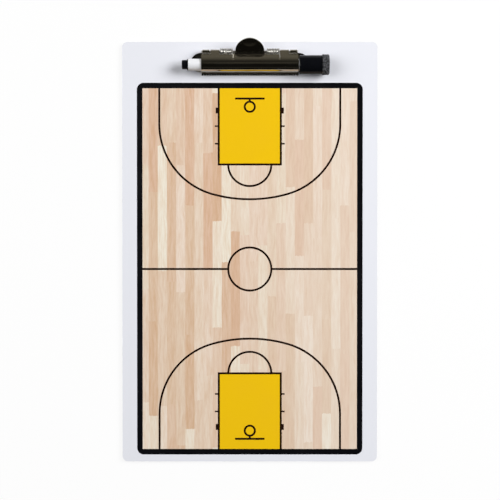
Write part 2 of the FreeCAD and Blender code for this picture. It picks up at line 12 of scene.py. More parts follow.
import bmesh
import bpy
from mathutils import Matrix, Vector


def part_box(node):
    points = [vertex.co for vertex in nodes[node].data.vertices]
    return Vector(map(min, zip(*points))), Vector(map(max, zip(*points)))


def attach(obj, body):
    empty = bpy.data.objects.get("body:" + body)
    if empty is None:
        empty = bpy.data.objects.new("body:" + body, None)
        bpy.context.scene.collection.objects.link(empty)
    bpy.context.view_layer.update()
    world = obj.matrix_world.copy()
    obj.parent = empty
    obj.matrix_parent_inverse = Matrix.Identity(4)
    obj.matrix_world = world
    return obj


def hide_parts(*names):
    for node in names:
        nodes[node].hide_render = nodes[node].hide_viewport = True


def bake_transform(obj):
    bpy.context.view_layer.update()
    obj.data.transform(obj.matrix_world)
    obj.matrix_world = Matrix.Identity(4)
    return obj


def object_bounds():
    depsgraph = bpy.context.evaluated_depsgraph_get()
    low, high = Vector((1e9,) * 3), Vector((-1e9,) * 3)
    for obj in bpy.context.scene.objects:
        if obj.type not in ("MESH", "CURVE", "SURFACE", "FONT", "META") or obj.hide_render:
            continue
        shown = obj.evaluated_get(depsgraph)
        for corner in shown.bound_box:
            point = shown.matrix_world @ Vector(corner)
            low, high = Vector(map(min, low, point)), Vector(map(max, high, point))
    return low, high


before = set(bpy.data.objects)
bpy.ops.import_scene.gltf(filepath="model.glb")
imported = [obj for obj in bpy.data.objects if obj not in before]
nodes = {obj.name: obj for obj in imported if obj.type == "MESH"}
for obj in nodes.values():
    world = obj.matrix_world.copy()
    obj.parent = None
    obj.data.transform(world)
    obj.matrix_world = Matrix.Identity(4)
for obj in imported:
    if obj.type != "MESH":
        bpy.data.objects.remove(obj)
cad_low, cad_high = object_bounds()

MM = 0.001
print("size in mm:", [round((high - low) / MM, 1) for low, high in zip(cad_low, cad_high)])

# %% [markdown]
# ## Helpers for every material
# Paint and plastic colours are easiest to judge as sRGB hex values, but shaders work in linear light, so one
# function converts them. A second one adds a node with its settings, values and links in one line, which
# keeps the node trees readable as text. Two more start a material and put a finished one on a CAD node.

# %% Helpers for node trees
def linear(hex_colour):
    """An sRGB hex colour as linear red, green, blue and alpha."""
    shades = [int(hex_colour[i:i + 2], 16) / 255 for i in (1, 3, 5)]
    return [s / 12.92 if s <= 0.04045 else ((s + 0.055) / 1.055) ** 2.4 for s in shades] + [1.0]


def add(tree, kind, inputs=None, **settings):
    """Add a node. Settings are its own properties; inputs are values, or output sockets to link from."""
    made = tree.nodes.new(kind)
    for name, value in settings.items():
        setattr(made, name, value)
    for name, value in (inputs or {}).items():
        socket = made.inputs[name]
        if isinstance(value, bpy.types.NodeSocket):
            tree.links.new(value, socket)
        else:
            socket.default_value = value
    return made


def new_material(name):
    """An empty material with its shader and output; returns the material, its tree and the shader."""
    material = bpy.data.materials.new(name)
    material.use_nodes = True
    tree = material.node_tree
    tree.nodes.clear()
    shader = add(tree, "ShaderNodeBsdfPrincipled")
    add(tree, "ShaderNodeOutputMaterial", {"Surface": shader.outputs["BSDF"]})
    return material, tree, shader


def finish_node(name, material):
    """Give a CAD node a finish by its material slot."""
    nodes[name].material_slots[0].material = material
    print("finish:", name, "->", material.name)


print("mid grey #808080 in linear light:", round(linear("#808080")[0], 3))

# %% [markdown]
# ## Dry-erase film
# The board is a stiff core with a glossy polyester film on both faces. One even gloss would look like a sheet
# of glass. Film is never optically flat: a slight orange peel breaks its reflections, and a little wiped-off
# ink haze dulls the gloss in patches. So a noise of about 2 mm drives a very shallow bump, and a wider one
# moves the roughness.

# %% Film
HAZE_SIZE = 38 * MM
PEEL_SIZE = 1.8 * MM
PEEL_DEPTH = 0.02 * MM
PEEL_STRENGTH = 0.03
FILM_ROUGHNESS = 0.16
BACK_ROUGHNESS = 0.24
# A clean patch is this much smoother than the film's roughness, and a hazed one this much rougher
WIPED_CLEAN = 0.04
HAZED = 0.08
POLYESTER_IOR = 1.5
# Most of a noise's values lie between these two
NOISE_LOW, NOISE_HIGH = 0.3, 0.7


def film_gloss(tree, shader, roughness):
    """Polyester's gloss with a slight orange peel and patchy wiping haze; returns the haze."""
    place = add(tree, "ShaderNodeTexCoord").outputs["Object"]
    haze = add(tree, "ShaderNodeTexNoise", {"Vector": place, "Scale": 1 / HAZE_SIZE, "Detail": 4.0})
    peel = add(tree, "ShaderNodeTexNoise", {"Vector": place, "Scale": 1 / PEEL_SIZE, "Detail": 2.0})
    gloss = add(tree, "ShaderNodeMapRange", {
        "Value": haze.outputs["Fac"], "From Min": NOISE_LOW, "From Max": NOISE_HIGH,
        "To Min": roughness - WIPED_CLEAN, "To Max": roughness + HAZED,
    })
    bump = add(tree, "ShaderNodeBump", {
        "Height": peel.outputs["Fac"], "Strength": PEEL_STRENGTH, "Distance": PEEL_DEPTH,
    })
    tree.links.new(gloss.outputs["Result"], shader.inputs["Roughness"])
    tree.links.new(bump.outputs["Normal"], shader.inputs["Normal"])
    shader.inputs["IOR"].default_value = POLYESTER_IOR
    return haze.outputs["Fac"]


def gloss_film(name, colour, haze_colour, roughness=FILM_ROUGHNESS):
    """Plain or one-colour film: two close tones that follow the haze."""
    material, tree, shader = new_material(name)
    tint = add(tree, "ShaderNodeMix", {
        "Factor": film_gloss(tree, shader, roughness), "A": linear(colour), "B": linear(haze_colour),
    }, data_type="RGBA")
    tree.links.new(tint.outputs["Result"], shader.inputs["Base Color"])
    return material


# Polyester film: a cool, clean white with blurred reflections, so that the lamps leave no hard spots on it
finish_node("front_film", gloss_film("white_polyester_film", "#E9EAF1", "#E6E8EF"))
# The same film on the back, scuffed by tables: a duller white with hardly a reflection
finish_node("back_film", gloss_film("white_polyester_film_back", "#E9EAEF", "#E5E7EC", BACK_ROUGHNESS))

# %% [markdown]
# ## Board core
# Between the films lies a pressed board, which shows only as a line of 2.7 mm round the edge. A flat grey would
# do from afar. Here a fine noise gives two close greys and a shallow bump, as a sawn edge has. It is darker
# than the film, so that the edge reads as a line against a white floor.

# %% Core
# The fibres are far thinner than this; they are drawn coarser so that they show
CORE_FIBRE_SIZE = 0.9 * MM
CORE_FIBRE_DEPTH = 0.05 * MM
CORE_BUMP = 0.1
CORE_ROUGHNESS = 0.7

# Pressed board: a matt light grey with a dusty, fibrous edge
core, tree, shader = new_material("pressed_board_core")
place = add(tree, "ShaderNodeTexCoord").outputs["Object"]
fibre = add(tree, "ShaderNodeTexNoise", {
    "Vector": place, "Scale": 1 / CORE_FIBRE_SIZE, "Detail": 5.0, "Roughness": 0.7,
})
greys = add(tree, "ShaderNodeMix", {
    "Factor": fibre.outputs["Fac"], "A": linear("#C4C4C8"), "B": linear("#B6B6BB"),
}, data_type="RGBA")
bump = add(tree, "ShaderNodeBump", {
    "Height": fibre.outputs["Fac"], "Strength": CORE_BUMP, "Distance": CORE_FIBRE_DEPTH,
})
tree.links.new(greys.outputs["Result"], shader.inputs["Base Color"])
tree.links.new(bump.outputs["Normal"], shader.inputs["Normal"])
shader.inputs["Roughness"].default_value = CORE_ROUGHNESS
finish_node("board_core", core)

# %% [markdown]
# ## Printed maple floor
# The court is a print of a maple floor: strips about 8.6 mm wide that run along the board, each of a
# different length and tone, with fine wavy grain. A brick texture repeats too evenly for this. Instead the
# strip number comes from the X coordinate, and a one-dimensional Voronoi pattern along Y, shifted by a random
# amount in each strip, gives boards of uneven length with one random tone each. The boards have nearly
# straight edges and square ends. Only a slight fraying softens them, from a streaky noise that first pushes
# the coordinates about by a millimetre or so.

# %% Maple strips
STRIP_WIDTH = 8.6 * MM
BOARD_RUN = 120 * MM
BOARD_UNEVENNESS = 0.8
# Each strip's boards are shifted by up to this many runs
STRIP_SHIFT = 60.0
FRAY_SIZE = 1.3 * MM
FRAY_STRETCH = (1.0, 0.035, 1.0)
FRAY_ACROSS = 1.2 * MM
FRAY_ALONG = 3 * MM
MAPLE_TONES = ["#D6AF90", "#E3C6AB", "#EDDAC4", "#F2E8D9", "#F5F1E6"]
MAPLE_CASTS = ["#E8C9B6", "#E6DABF"]
CAST_SHARE = 0.25

# A print of maple under film: honey to cream boards with the film's even gloss over all of them
maple, tree, shader = new_material("printed_maple_strips")
film_gloss(tree, shader, FILM_ROUGHNESS)
place = add(tree, "ShaderNodeTexCoord").outputs["Object"]
axes = add(tree, "ShaderNodeSeparateXYZ", {"Vector": place})
streaks = add(tree, "ShaderNodeMapping", {"Vector": place, "Scale": FRAY_STRETCH})
fray = add(tree, "ShaderNodeTexNoise", {
    "Vector": streaks.outputs["Vector"], "Scale": 1 / FRAY_SIZE, "Detail": 2.0,
}).outputs["Fac"]
across = add(tree, "ShaderNodeMath", {0: fray, 1: FRAY_ACROSS, 2: axes.outputs["X"]}, operation="MULTIPLY_ADD")
column = add(tree, "ShaderNodeMath", {0: across.outputs[0], 1: STRIP_WIDTH}, operation="DIVIDE")
number = add(tree, "ShaderNodeMath", {0: column.outputs[0]}, operation="FLOOR")
shift = add(tree, "ShaderNodeTexWhiteNoise", {"W": number.outputs[0]}, noise_dimensions="1D")
frayed = add(tree, "ShaderNodeMath", {0: fray, 1: FRAY_ALONG, 2: axes.outputs["Y"]}, operation="MULTIPLY_ADD")
along = add(tree, "ShaderNodeMath", {0: frayed.outputs[0], 1: BOARD_RUN}, operation="DIVIDE")
shifted = add(tree, "ShaderNodeMath", {
    0: shift.outputs["Value"], 1: STRIP_SHIFT, 2: along.outputs[0],
}, operation="MULTIPLY_ADD")
boards = add(tree, "ShaderNodeTexVoronoi", {
    "W": shifted.outputs[0], "Scale": 1.0, "Randomness": BOARD_UNEVENNESS,
}, voronoi_dimensions="1D")
tone = add(tree, "ShaderNodeSeparateColor", {"Color": boards.outputs["Color"]})
ramp = add(tree, "ShaderNodeValToRGB", {"Fac": tone.outputs["Red"]})
ramp.color_ramp.elements.remove(ramp.color_ramp.elements[1])
for index, colour in enumerate(MAPLE_TONES):
    stop = ramp.color_ramp.elements[0] if index == 0 else ramp.color_ramp.elements.new(0)
    stop.position = index / (len(MAPLE_TONES) - 1)
    stop.color = linear(colour)
cast = add(tree, "ShaderNodeMix", {
    "Factor": tone.outputs["Blue"], "A": linear(MAPLE_CASTS[0]), "B": linear(MAPLE_CASTS[1]),
}, data_type="RGBA")
wood = add(tree, "ShaderNodeMix", {
    "Factor": CAST_SHARE, "A": ramp.outputs["Color"], "B": cast.outputs["Result"],
}, data_type="RGBA")
court_low, court_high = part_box("floor_print")
print("strips across the court:", round((court_high.x - court_low.x) / STRIP_WIDTH, 1))

# %% Maple grain, with its own place in each board so that it breaks at ends
# Grain finer than this would be lost between the picture's pixels, so it is drawn this coarse
GRAIN_WIDTH = 2.0 * MM
GRAIN_LENGTH = 24 * MM
GRAIN_JUMP = 70.0
GRAIN_LOW, GRAIN_HIGH = 0.36, 0.72
GRAIN_DEPTH = 0.9
SWAY_SIZE = 26 * MM
SWAY = 5 * MM
# Painted reflection: the court is paled towards its right side, where the film's gloss glares under light from
# the upper right
GLARE_FROM, GLARE_TO = -40 * MM, 80 * MM
GLARE_SHARE = 0.32

sway = add(tree, "ShaderNodeTexNoise", {"Vector": place, "Scale": 1 / SWAY_SIZE, "Detail": 1.0})
swayed = add(tree, "ShaderNodeMath", {
    0: sway.outputs["Fac"], 1: SWAY, 2: axes.outputs["X"],
}, operation="MULTIPLY_ADD")
grain_x = add(tree, "ShaderNodeMath", {0: swayed.outputs[0], 1: 1 / GRAIN_WIDTH}, operation="MULTIPLY")
grain_y = add(tree, "ShaderNodeMath", {0: axes.outputs["Y"], 1: 1 / GRAIN_LENGTH}, operation="MULTIPLY")
grain_z = add(tree, "ShaderNodeMath", {0: tone.outputs["Green"], 1: GRAIN_JUMP}, operation="MULTIPLY")
grain_at = add(tree, "ShaderNodeCombineXYZ", {
    "X": grain_x.outputs[0], "Y": grain_y.outputs[0], "Z": grain_z.outputs[0],
})
grain = add(tree, "ShaderNodeTexNoise", {
    "Vector": grain_at.outputs[0], "Scale": 1.0, "Detail": 3.0, "Roughness": 0.75,
})
depth = add(tree, "ShaderNodeMapRange", {
    "Value": grain.outputs["Fac"], "From Min": GRAIN_LOW, "From Max": GRAIN_HIGH,
    "To Min": 0.0, "To Max": GRAIN_DEPTH,
})
grained = add(tree, "ShaderNodeMix", {
    "Factor": depth.outputs["Result"], "A": wood.outputs["Result"], "B": linear("#F0E0D0"),
}, data_type="RGBA", blend_type="MULTIPLY")
# Painted reflection: a pale cream is mixed in more and more towards the right, standing in for the film's glare
painted_glare_share = add(tree, "ShaderNodeMapRange", {
    "Value": axes.outputs["X"], "From Min": GLARE_FROM, "From Max": GLARE_TO,
    "To Min": 0.0, "To Max": GLARE_SHARE,
})
painted_glare = add(tree, "ShaderNodeMix", {
    "Factor": painted_glare_share.outputs["Result"], "A": grained.outputs["Result"], "B": linear("#F0EADF"),
}, data_type="RGBA")
tree.links.new(painted_glare.outputs["Result"], shader.inputs["Base Color"])
finish_node("floor_print", maple)

# %% [markdown]
# ## Printing inks
# The border is a dense cool black, the court lines are a warmer brown-black and the keys are a strong yellow.
# They could be one material with a mask, but each print is a solid of its own, so each gets its own ink. All
# three lie under the same gloss as the film, so they reuse its shader with two close tones each.

# %% Inks
# Dense black ink under film: the deepest tone on the board, cool and glossy
finish_node("border_print", gloss_film("black_border_ink", "#07080B", "#0D0D11"))
# Brown-black ink: thin lines that look softer than the border on the warm floor
finish_node("line_print", gloss_film("brown_black_line_ink", "#1B0D07", "#241209"))
# Opaque yellow ink: a flat, strong colour that hides the floor below it
finish_node("key_print", gloss_film("yellow_key_ink", "#F0C412", "#EDBD14"))

# %% [markdown]
# ## Bright nickel
# The clip is pressed from steel strip and nickel plated. Plating is a smooth mirror with a warm tint, so the
# clip takes most of its look from the dark room around it. A rougher metal would catch the lamps and turn
# patchy and pale. The rolled strip leaves very faint lines along the sheet, and fingers leave slightly duller
# smears, so a noise that is stretched along X drives a tiny bump, and a wider one varies the roughness. Wire
# and pin are rougher than the jaw. The metal keeps the default IOR.

# %% Plated metals
LINE_STRETCH = (0.015, 1.0, 1.0)
LINE_DEPTH = 0.03 * MM
LINE_BUMP = 0.5
SMEAR_SIZE = 9 * MM
SMEAR_LOW, SMEAR_HIGH = 0.3, 0.75
# Rolling and drawing lines are much finer than these sizes; they are drawn coarser so that they show
SHEET_LINES = 1.5 * MM
WIRE_LINES = 0.8 * MM


def plated_metal(name, colour, worn_colour, roughness, smear_depth, line_size):
    """Plated or drawn steel with lines along X and smeared gloss."""
    material, tree, shader = new_material(name)
    place = add(tree, "ShaderNodeTexCoord").outputs["Object"]
    stretch = add(tree, "ShaderNodeMapping", {"Vector": place, "Scale": LINE_STRETCH})
    lines = add(tree, "ShaderNodeTexNoise", {
        "Vector": stretch.outputs["Vector"], "Scale": 1 / line_size, "Detail": 3.0, "Roughness": 0.6,
    })
    smear = add(tree, "ShaderNodeTexNoise", {"Vector": place, "Scale": 1 / SMEAR_SIZE, "Detail": 4.0})
    tint = add(tree, "ShaderNodeMix", {
        "Factor": smear.outputs["Fac"], "A": linear(colour), "B": linear(worn_colour),
    }, data_type="RGBA")
    gloss = add(tree, "ShaderNodeMapRange", {
        "Value": smear.outputs["Fac"], "From Min": SMEAR_LOW, "From Max": SMEAR_HIGH,
        "To Min": roughness, "To Max": roughness + smear_depth,
    })
    bump = add(tree, "ShaderNodeBump", {
        "Height": lines.outputs["Fac"], "Strength": LINE_BUMP, "Distance": LINE_DEPTH,
    })
    tree.links.new(tint.outputs["Result"], shader.inputs["Base Color"])
    tree.links.new(gloss.outputs["Result"], shader.inputs["Roughness"])
    tree.links.new(bump.outputs["Normal"], shader.inputs["Normal"])
    shader.inputs["Metallic"].default_value = 1.0
    return material


# Bright nickel plate: a warm mirror, almost black where it shows the room and pale where it shows a glow
jaw_nickel = plated_metal(
    "bright_nickel_plate", "#C9C5BA", "#BDB8AC", roughness=0.08, smear_depth=0.05, line_size=SHEET_LINES)
# Plated spring wire: blurred highlights along each turn, so that the coils read as a pale row
spring_steel = plated_metal(
    "plated_spring_wire", "#CFCDC8", "#BFBCB5", roughness=0.2, smear_depth=0.12, line_size=WIRE_LINES)
# Drawn steel: greyer and duller than the plated pieces round it
pin_steel = plated_metal(
    "drawn_steel_pin", "#B9B6AF", "#A8A49C", roughness=0.24, smear_depth=0.12, line_size=WIRE_LINES)
for name in ("clip_jaw", "clip_base_plate", "left_rivet", "right_rivet"):
    finish_node(name, jaw_nickel)
finish_node("hinge_pin", pin_steel)

# %% [markdown]
# ## Moulded plastics
# The marker's barrel is glossy white polypropylene, and its cap and end plug are black. They could be four
# trees, but they differ only in numbers, so one function makes them. A mould leaves a fine grain, which is
# drawn at 0.5 mm or more here because it would be too fine to show. On the black pieces that grain breaks up
# what a bare surface would mirror. A low specular level stands in for it and keeps the black deep.

# %% Barrel, cap, plug and nib holder
FLOW_SIZE = 14 * MM
MOULD_DEPTH = 0.03 * MM
BARREL_GRAIN = 0.6 * MM
MOULD_GRAIN = 0.5 * MM
# The plastic's flow makes some patches this much smoother, and others this much rougher
FLOW_SMOOTH = 0.04
FLOW_DULL = 0.06
POLYPROPYLENE_IOR = 1.49
PLAIN_SHINE = 0.5
BLACK_SHINE = 0.1


def moulded_plastic(name, colour, second_colour, roughness, grain_size, grain_bump, shine=PLAIN_SHINE):
    """Injection-moulded plastic: two close tones, an even gloss and the mould's grain."""
    material, tree, shader = new_material(name)
    place = add(tree, "ShaderNodeTexCoord").outputs["Object"]
    flow = add(tree, "ShaderNodeTexNoise", {"Vector": place, "Scale": 1 / FLOW_SIZE, "Detail": 3.0})
    grain = add(tree, "ShaderNodeTexNoise", {"Vector": place, "Scale": 1 / grain_size, "Detail": 2.0})
    tint = add(tree, "ShaderNodeMix", {
        "Factor": flow.outputs["Fac"], "A": linear(colour), "B": linear(second_colour),
    }, data_type="RGBA")
    gloss = add(tree, "ShaderNodeMapRange", {
        "Value": flow.outputs["Fac"], "From Min": NOISE_LOW, "From Max": NOISE_HIGH,
        "To Min": roughness - FLOW_SMOOTH, "To Max": roughness + FLOW_DULL,
    })
    bump = add(tree, "ShaderNodeBump", {
        "Height": grain.outputs["Fac"], "Strength": grain_bump, "Distance": MOULD_DEPTH,
    })
    tree.links.new(tint.outputs["Result"], shader.inputs["Base Color"])
    tree.links.new(gloss.outputs["Result"], shader.inputs["Roughness"])
    tree.links.new(bump.outputs["Normal"], shader.inputs["Normal"])
    shader.inputs["IOR"].default_value = POLYPROPYLENE_IOR
    shader.inputs["Specular IOR Level"].default_value = shine
    return material


# White polypropylene: a clean white tube with one soft, waxy highlight along it
finish_node("marker_barrel", moulded_plastic(
    "white_polypropylene", "#E8E9EB", "#E3E4E7", roughness=0.28, grain_size=BARREL_GRAIN, grain_bump=0.05))
# Black polypropylene: a deep black with only a faint sheen
finish_node("marker_cap", moulded_plastic(
    "black_polypropylene_cap", "#090A0D", "#0D0E12",
    roughness=0.15, grain_size=MOULD_GRAIN, grain_bump=0.04, shine=BLACK_SHINE))
# The same plastic for the plug: its sheen is a little softer and its black a shade less even
finish_node("marker_end_plug", moulded_plastic(
    "black_polypropylene_plug", "#090A0D", "#101115",
    roughness=0.17, grain_size=MOULD_GRAIN, grain_bump=0.04, shine=BLACK_SHINE))
# Grey polypropylene: a dull, grainy mid grey between the black nib and the white barrel
finish_node("nib_holder", moulded_plastic(
    "grey_polypropylene", "#A6A7AB", "#98999D", roughness=0.4, grain_size=MOULD_GRAIN, grain_bump=0.2))

# %% [markdown]
# ## Bonded fibre
# The nib and the ink reservoir are bundles of bonded fibres that run along the marker. The nib shows only with
# the cap off and the reservoir not at all, so modelled strands would be wasted on them. Their pattern is a
# noise stretched along X.

# %% Nib and reservoir
BUNDLE_STRETCH = (0.08, 1.0, 1.0)
BUNDLE_DEPTH = 0.06 * MM
BUNDLE_BUMP = 0.6
BUNDLE_ROUGHNESS = 0.85
# Single fibres are much thinner; they are drawn as coarse as this so that they show
NIB_FIBRE = 0.25 * MM
RESERVOIR_FIBRE = 0.3 * MM


def fibre_bundle(name, colour, fibre_colour, fibre_size):
    """Bonded fibres along X, dull and ink-stained."""
    material, tree, shader = new_material(name)
    place = add(tree, "ShaderNodeTexCoord").outputs["Object"]
    stretch = add(tree, "ShaderNodeMapping", {"Vector": place, "Scale": BUNDLE_STRETCH})
    fibre = add(tree, "ShaderNodeTexNoise", {
        "Vector": stretch.outputs["Vector"], "Scale": 1 / fibre_size, "Detail": 3.0,
    })
    tint = add(tree, "ShaderNodeMix", {
        "Factor": fibre.outputs["Fac"], "A": linear(colour), "B": linear(fibre_colour),
    }, data_type="RGBA")
    bump = add(tree, "ShaderNodeBump", {
        "Height": fibre.outputs["Fac"], "Strength": BUNDLE_BUMP, "Distance": BUNDLE_DEPTH,
    })
    tree.links.new(tint.outputs["Result"], shader.inputs["Base Color"])
    tree.links.new(bump.outputs["Normal"], shader.inputs["Normal"])
    shader.inputs["Roughness"].default_value = BUNDLE_ROUGHNESS
    return material


# Acrylic fibre soaked with ink: a matt black tip with lengthwise streaks
finish_node("marker_nib", fibre_bundle("inked_acrylic_fibre", "#0B0B0D", "#26262A", NIB_FIBRE))
# Polyester wadding stained by ink: a dull dark grey
finish_node("ink_reservoir", fibre_bundle(
    "polyester_reservoir_fibre", "#2A2A2E", "#4A4A50", RESERVOIR_FIBRE))

# %% [markdown]
# ## Torsion springs
# Each spring is one wire: a leg that rests on the base plate, seven close turns round the hinge pin and a leg
# that lies on the jaw. A screw modifier could make the turns, but not the legs in the same tube, so the path
# comes from the helix formula and a small Geometry Nodes tree sweeps a round section along it.

# %% A tree that sweeps wire along a path
def wire_tree(material):
    """Geometry Nodes tree: a round wire along the object's own curve."""
    tree = bpy.data.node_groups.new("wire_along_path", "GeometryNodeTree")
    tree.interface.new_socket("Geometry", in_out="INPUT", socket_type="NodeSocketGeometry")
    tree.interface.new_socket("Wire diameter", in_out="INPUT", socket_type="NodeSocketFloat")
    tree.interface.new_socket("Sides", in_out="INPUT", socket_type="NodeSocketInt")
    tree.interface.new_socket("Geometry", in_out="OUTPUT", socket_type="NodeSocketGeometry")
    given = add(tree, "NodeGroupInput")
    radius = add(tree, "ShaderNodeMath", {0: given.outputs["Wire diameter"], 1: 0.5}, operation="MULTIPLY")
    section = add(tree, "GeometryNodeCurvePrimitiveCircle", {
        "Resolution": given.outputs["Sides"], "Radius": radius.outputs[0],
    })
    tube = add(tree, "GeometryNodeCurveToMesh", {
        "Curve": given.outputs["Geometry"], "Profile Curve": section.outputs["Curve"], "Fill Caps": True,
    })
    whole = add(tree, "GeometryNodeRealizeInstances", {"Geometry": tube.outputs["Mesh"]})
    coated = add(tree, "GeometryNodeSetMaterial", {
        "Geometry": whole.outputs["Geometry"], "Material": material,
    })
    add(tree, "NodeGroupOutput", {"Geometry": coated.outputs["Geometry"]})
    return tree


def plain_mesh(maker, name, tree, values):
    """Run a tree on an object, keep the result as a plain mesh object and remove the maker."""
    modifier = maker.modifiers.new("maker", "NODES")
    modifier.node_group = tree
    for item in tree.interface.items_tree:
        if item.in_out == "INPUT" and item.name in values:
            modifier[item.identifier] = values[item.name]
    graph = bpy.context.evaluated_depsgraph_get()
    mesh = bpy.data.meshes.new_from_object(maker.evaluated_get(graph))
    mesh.name = name
    bpy.data.objects.remove(maker)
    piece = bpy.data.objects.new(name, mesh)
    bpy.context.scene.collection.objects.link(piece)
    return piece


wire_nodes = wire_tree(spring_steel)
print("tree:", wire_nodes.name, "with", len(wire_nodes.nodes), "nodes")

# %% Wind both springs
WIRE = 1.0 * MM
WIRE_SIDES = 14
COIL_RADIUS = 3.0 * MM
COIL_PITCH = 1.5 * MM
COIL_TURNS = 7
STEPS_A_TURN = 40
JAW_LEG = 9.4 * MM
BASE_LEG = 8.9 * MM
BASE_LEG_SLOPE = math.radians(37.65)
JAW_LEG_SLOPE = math.radians(27.79)
PIN = Vector((0, 187.0, 12.4)) * MM
leg_run = BASE_LEG * COIL_PITCH / (2 * math.pi * COIL_RADIUS)


def triangles(piece):
    """How many triangles a piece's mesh has."""
    return sum(len(face.vertices) - 2 for face in piece.data.polygons)


def spring_path(x_start):
    """Points of one spring: base leg, turns and jaw leg, with X growing along the turns."""
    first = BASE_LEG_SLOPE - math.pi / 2
    last = math.pi / 2 - JAW_LEG_SLOPE + COIL_TURNS * 2 * math.pi
    steps = math.ceil((last - first) / (2 * math.pi) * STEPS_A_TURN)
    points = []
    for step in range(steps + 1):
        angle = first + (last - first) * step / steps
        x = x_start + COIL_PITCH * (angle - first) / (2 * math.pi)
        y = PIN.y + COIL_RADIUS * math.cos(angle)
        z = PIN.z + COIL_RADIUS * math.sin(angle)
        points.append(Vector((x, y, z)))
    base_tip = points[0] + (points[0] - points[1]).normalized() * BASE_LEG
    jaw_tip = points[-1] + (points[-1] - points[-2]).normalized() * JAW_LEG
    return [base_tip] + points + [jaw_tip], points[0].x, points[-1].x


for name in ("left_spring", "right_spring"):
    path, coil_from, coil_to = spring_path(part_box(name)[0].x + WIRE / 2 + leg_run)
    curve = bpy.data.curves.new(name + "_path", "CURVE")
    curve.dimensions = "3D"
    spline = curve.splines.new("POLY")
    spline.points.add(len(path) - 1)
    for point, spot in zip(spline.points, path):
        point.co = (*spot, 1.0)
    maker = bpy.data.objects.new(name + "_path", curve)
    bpy.context.scene.collection.objects.link(maker)
    spring = plain_mesh(maker, name + "_wire", wire_nodes, {"Wire diameter": WIRE, "Sides": WIRE_SIDES})
    spring.data.polygons.foreach_set("use_smooth", [True] * len(spring.data.polygons))
    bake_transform(spring)
    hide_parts(name)
    print(name, "triangles:", triangles(spring),
          "X in mm:", round(coil_from / MM, 2), "to", round(coil_to / MM, 2))

# %% [markdown]
# ## Felt eraser
# The pad on the cap's end is pressed wool felt: a mass of dark and light fibres that lie nearly flat, with a
# few that stand off. A bump map can't give its frayed outline, so the body is a turned mesh with a lumpy
# surface, and a Geometry Nodes tree scatters short bent fibres over it. Each fibre carries a random tone in
# an attribute that the material reads.

# %% Felt material
MOTTLE_SIZE = 1.5 * MM
MOTTLE_SHARE = 3.2
WOOL_DARK, WOOL_LIGHT = 1.4, 2.4
FELT_ROUGHNESS = 0.95
FELT_SHEEN = 0.1
FELT_SHEEN_ROUGHNESS = 0.5

# Pressed wool felt: a speckled charcoal without any gloss, with a soft pale rim of fibres
felt, tree, shader = new_material("pressed_wool_felt")
place = add(tree, "ShaderNodeTexCoord").outputs["Object"]
own_tone = add(tree, "ShaderNodeAttribute", attribute_name="fibre_tone")
mottle = add(tree, "ShaderNodeTexNoise", {
    "Vector": place, "Scale": 1 / MOTTLE_SIZE, "Detail": 3.0, "Roughness": 0.7,
})
blended = add(tree, "ShaderNodeMath", {
    0: mottle.outputs["Fac"], 1: MOTTLE_SHARE, 2: own_tone.outputs["Fac"],
}, operation="MULTIPLY_ADD")
wool = add(tree, "ShaderNodeMapRange", {
    "Value": blended.outputs[0], "From Min": WOOL_DARK, "From Max": WOOL_LIGHT,
})
felt_ramp = add(tree, "ShaderNodeValToRGB", {"Fac": wool.outputs["Result"]})
felt_ramp.color_ramp.elements[0].color = linear("#0B0C0E")
felt_ramp.color_ramp.elements[1].color = linear("#84858A")
tree.links.new(felt_ramp.outputs["Color"], shader.inputs["Base Color"])
shader.inputs["Roughness"].default_value = FELT_ROUGHNESS
shader.inputs["Sheen Weight"].default_value = FELT_SHEEN
shader.inputs["Sheen Roughness"].default_value = FELT_SHEEN_ROUGHNESS
print("material:", felt.name)

# %% Felt outline, from the cap outwards and then in to the axis
FELT_INSET = 0.25 * MM
FELT_ROUND = 1.5 * MM
SIDE_STEPS = 8
ROUND_STEPS = 6
END_STEPS = 9
felt_low, felt_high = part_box("eraser_felt")
felt_radius = (felt_high.y - felt_low.y) / 2 - FELT_INSET
felt_end = felt_high.x - FELT_INSET
flat_radius = felt_radius - FELT_ROUND

profile = []
for step in range(SIDE_STEPS + 1):
    share = step / SIDE_STEPS
    profile.append((felt_low.x + (felt_end - FELT_ROUND - felt_low.x) * share, felt_radius))
for step in range(1, ROUND_STEPS + 1):
    turn = math.pi / 2 * step / ROUND_STEPS
    x = felt_end - FELT_ROUND + FELT_ROUND * math.sin(turn)
    profile.append((x, felt_radius - FELT_ROUND + FELT_ROUND * math.cos(turn)))
for step in range(1, END_STEPS):
    profile.append((felt_end, flat_radius * (1 - step / END_STEPS)))
print("felt radius and length in mm:", round(felt_radius / MM, 2), round((felt_end - felt_low.x) / MM, 2))

# %% Felt body
FELT_SIDES = 96
LUMP_HEIGHT = 0.09 * MM
# Waves round the felt, and how far they turn along it and across its end, in radians per metre
SIDE_WAVES, END_WAVES = 7, 3
SIDE_TURN, END_TURN = 900, 1500
felt_axis = Vector((0, (felt_low.y + felt_high.y) / 2, (felt_low.z + felt_high.z) / 2))


def lump(angle, x, radius):
    """Height of the felt's surface above its outline."""
    side_wave = math.sin(SIDE_WAVES * angle + SIDE_TURN * x)
    end_wave = math.sin(END_WAVES * angle - END_TURN * radius)
    return LUMP_HEIGHT * side_wave * end_wave


